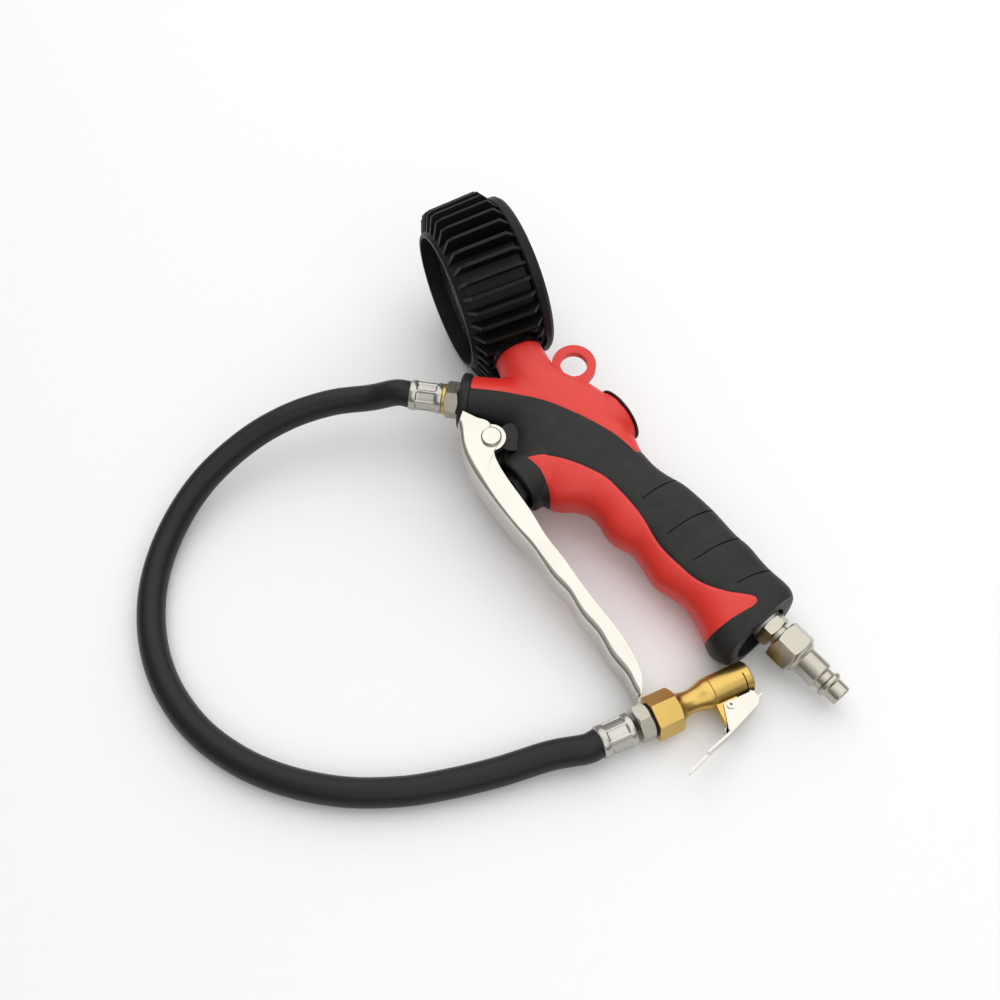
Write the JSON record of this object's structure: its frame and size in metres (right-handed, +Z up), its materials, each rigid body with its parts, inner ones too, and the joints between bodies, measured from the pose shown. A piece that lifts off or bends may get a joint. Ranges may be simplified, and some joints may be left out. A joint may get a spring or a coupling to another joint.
{
  "type": "portable tire inflator gun",
  "caption": "Pistol-grip tyre inflator lying on its side, with a finned round gauge boot, long squeeze lever, air plug, black hose and clip-on chuck.",
  "frame": {"origin": "centre of the gun's footprint on the table it lies on, hose and chuck left out", "axes": "+X from the gauge towards the air plug, +Y towards the hang eye side, +Z up from the table"},
  "size_m": [0.3683, 0.3351, 0.1112],
  "materials": {
    "red_shell": "satin",
    "soft_grip": "soft satin",
    "cast_alloy": "cast",
    "black_plastic": "satin",
    "brass": "machined",
    "seal_rubber": "matte",
    "spring_steel": "drawn wire",
    "nickel": "bright nickel plate",
    "plug_nickel": "dull nickel plate",
    "boot_rubber": "matte",
    "black_steel": "black enamel",
    "clear_lens": "polished",
    "dial_card": "matte white",
    "dial_ink": "printed",
    "needle_paint": "painted",
    "zinc_steel": "pressed, plated",
    "hose_rubber": "smooth matte",
    "gold_alloy": "gold anodised"
  },
  "bodies": {
    "gun": {"housing": "red_shell", "grip": "soft_grip", "valve_body": "cast_alloy", "hang_eye": "red_shell", "valve_cap": "black_plastic", "valve_plug": "brass", "plug_seal": "seal_rubber", "valve_spring": "spring_steel", "plunger_guide": "black_plastic", "pivot_lug": "black_plastic", "pivot_pin": "nickel", "pivot_clip": "spring_steel", "inlet_bush": "plug_nickel", "inlet_filter": "brass", "air_plug": "plug_nickel", "gauge_stem": "brass", "stem_collar": "black_plastic", "gauge_boot": "boot_rubber", "gauge_case": "black_steel", "bezel": "black_steel", "gauge_lens": "clear_lens", "dial": "dial_card", "dial_marks": "dial_ink", "stop_pin": "spring_steel", "movement": "brass", "bourdon_tube": "brass", "hose_nut": "plug_nickel", "hose_washer": "brass", "port_seal": "seal_rubber", "gun_ferrule": "zinc_steel", "hose": "hose_rubber", "chuck_ferrule": "zinc_steel", "chuck_nut": "plug_nickel", "chuck_washer": "seal_rubber", "chuck_body": "gold_alloy", "chuck_seal": "seal_rubber", "pin_spring": "spring_steel", "clip_rivet": "nickel", "clip_spring": "spring_steel"},
    "lever": {"lever": "nickel"},
    "valve_stem": {"valve_plunger": "nickel", "poppet": "brass", "poppet_seal": "seal_rubber"},
    "needle": {"needle": "needle_paint", "needle_arbor": "brass"},
    "sector": {"sector": "brass"},
    "clip": {"chuck_clip": "nickel"},
    "core_pin": {"core_pin": "brass"}
  },
  "joints": [
    {"name": "lever_squeeze", "type": "hinge", "parent": "gun", "child": "lever", "pos_m": [-0.0463, -0.03209, 0.0365], "axis": [0.1235, -0.1219, 0.9848], "range_deg": [0, 8], "stiffness_Nm_per_rad": 2, "springref_deg": -11.46},
    {"name": "plunger_slide", "type": "slide", "parent": "gun", "child": "valve_stem", "axis": [0.0947, 0.9893, 0.1106], "range_m": [0, 0.0044], "deforming": ["valve_spring"]},
    {"name": "needle_turn", "type": "hinge", "parent": "gun", "child": "needle", "pos_m": [-0.13197, 0.02317, 0.05408], "axis": [0.3292, 0.9413, 0.0752], "range_deg": [0, 270]},
    {"name": "sector_swing", "type": "hinge", "parent": "gun", "child": "sector", "pos_m": [-0.11225, 0.03021, 0.05248], "axis": [0.3292, 0.9413, 0.0752], "range_deg": [-60, 0]},
    {"name": "clip_press", "type": "hinge", "parent": "gun", "child": "clip", "pos_m": [0.14767, -0.04063, 0.012], "axis": [0, 0, -1], "range_deg": [0, 20], "stiffness_Nm_per_rad": 0.2, "springref_deg": -17.19, "deforming": ["clip_spring"]},
    {"name": "core_pin_press", "type": "slide", "parent": "gun", "child": "core_pin", "axis": [-0.2974, -0.9548, 0], "range_m": [0, 0.0025], "stiffness_N_per_m": 300, "springref_m": -0.001, "deforming": ["pin_spring"]}
  ],
  "couplings": [
    {"joint": "plunger_slide", "follows": "lever_squeeze", "m_per_rad": 0.031},
    {"joint": "sector_swing", "follows": "needle_turn", "ratio": -0.22222}
  ]
}
